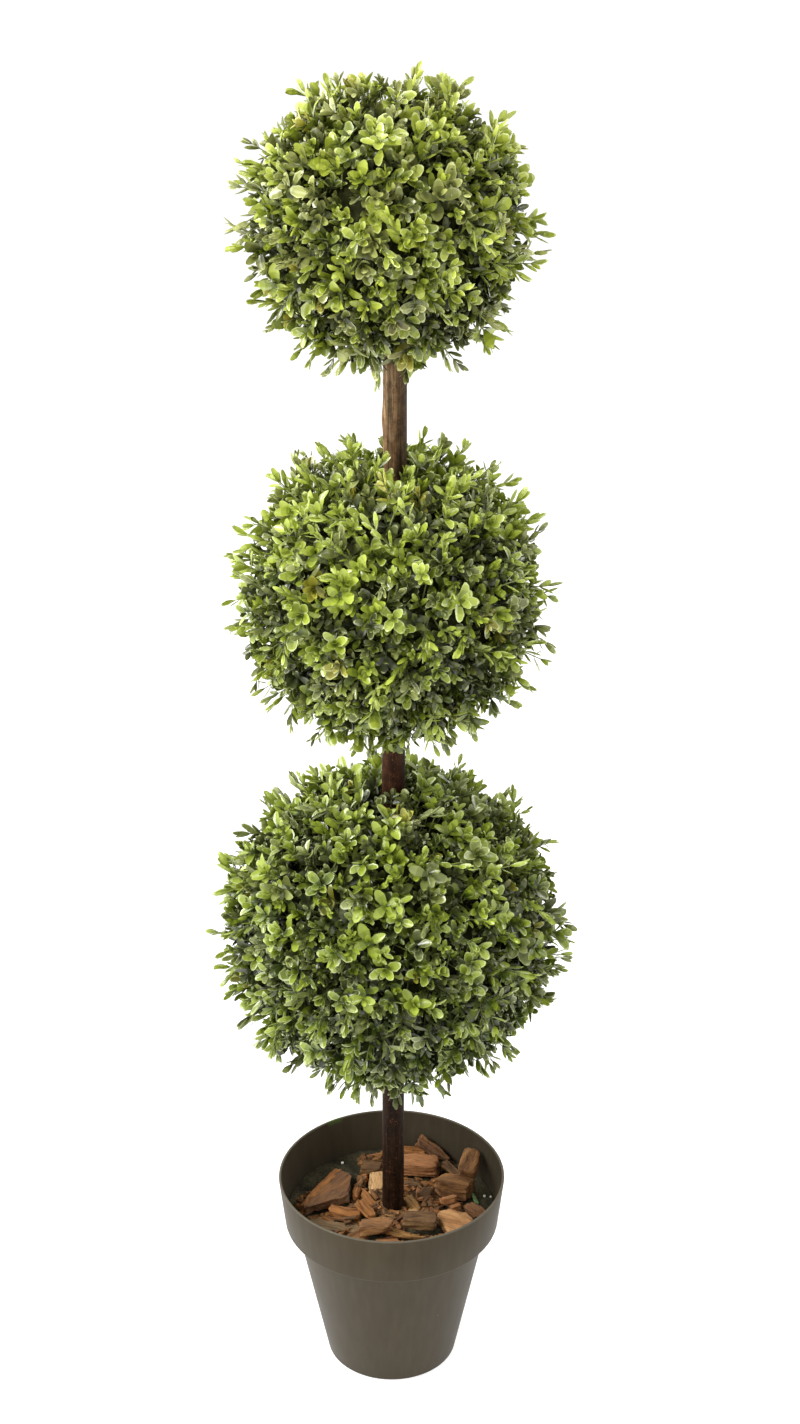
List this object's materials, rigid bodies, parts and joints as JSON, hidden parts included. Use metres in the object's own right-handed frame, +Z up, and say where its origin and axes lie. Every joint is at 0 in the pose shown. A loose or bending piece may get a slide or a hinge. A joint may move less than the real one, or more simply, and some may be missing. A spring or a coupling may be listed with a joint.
{
  "type": "artificial potted topiary tree",
  "caption": "Artificial topiary tree: balls of box-leaf foliage in a row up one straight wooden pole, standing in a round plastic pot topped with bark chips.",
  "frame": {"origin": "middle of the pot's flat underside, on the surface it stands on", "axes": "+Z up along the pole, -Y towards the front view, +X to the right of that view"},
  "size_m": [0.3154, 0.3154, 1.2],
  "materials": {
    "pot_plastic": "matt moulded charcoal-taupe plastic",
    "filler": "rough dark cast filler",
    "trunk_wood": "dark stained natural wood, dull",
    "bark": "dry broken bark",
    "foliage": "satin artificial leaves in mixed greens"
  },
  "bodies": {
    "root": {"pot": "pot_plastic", "pot_filler": "filler", "trunk": "trunk_wood", "ball_bottom": "foliage", "ball_middle": "foliage", "ball_top": "foliage", "bark_chip_01": "bark", "bark_chip_02": "bark", "bark_chip_03": "bark", "bark_chip_04": "bark", "bark_chip_05": "bark", "bark_chip_06": "bark", "bark_chip_07": "bark", "bark_chip_08": "bark", "bark_chip_09": "bark", "bark_chip_10": "bark", "bark_chip_11": "bark", "bark_chip_12": "bark", "bark_chip_13": "bark", "bark_chip_14": "bark", "bark_chip_15": "bark", "bark_chip_16": "bark", "bark_chip_17": "bark", "bark_chip_18": "bark", "bark_chip_19": "bark", "bark_chip_20": "bark", "bark_chip_21": "bark", "bark_chip_22": "bark", "bark_chip_23": "bark", "bark_chip_24": "bark", "bark_chip_25": "bark"}
  },
  "joints": []
}
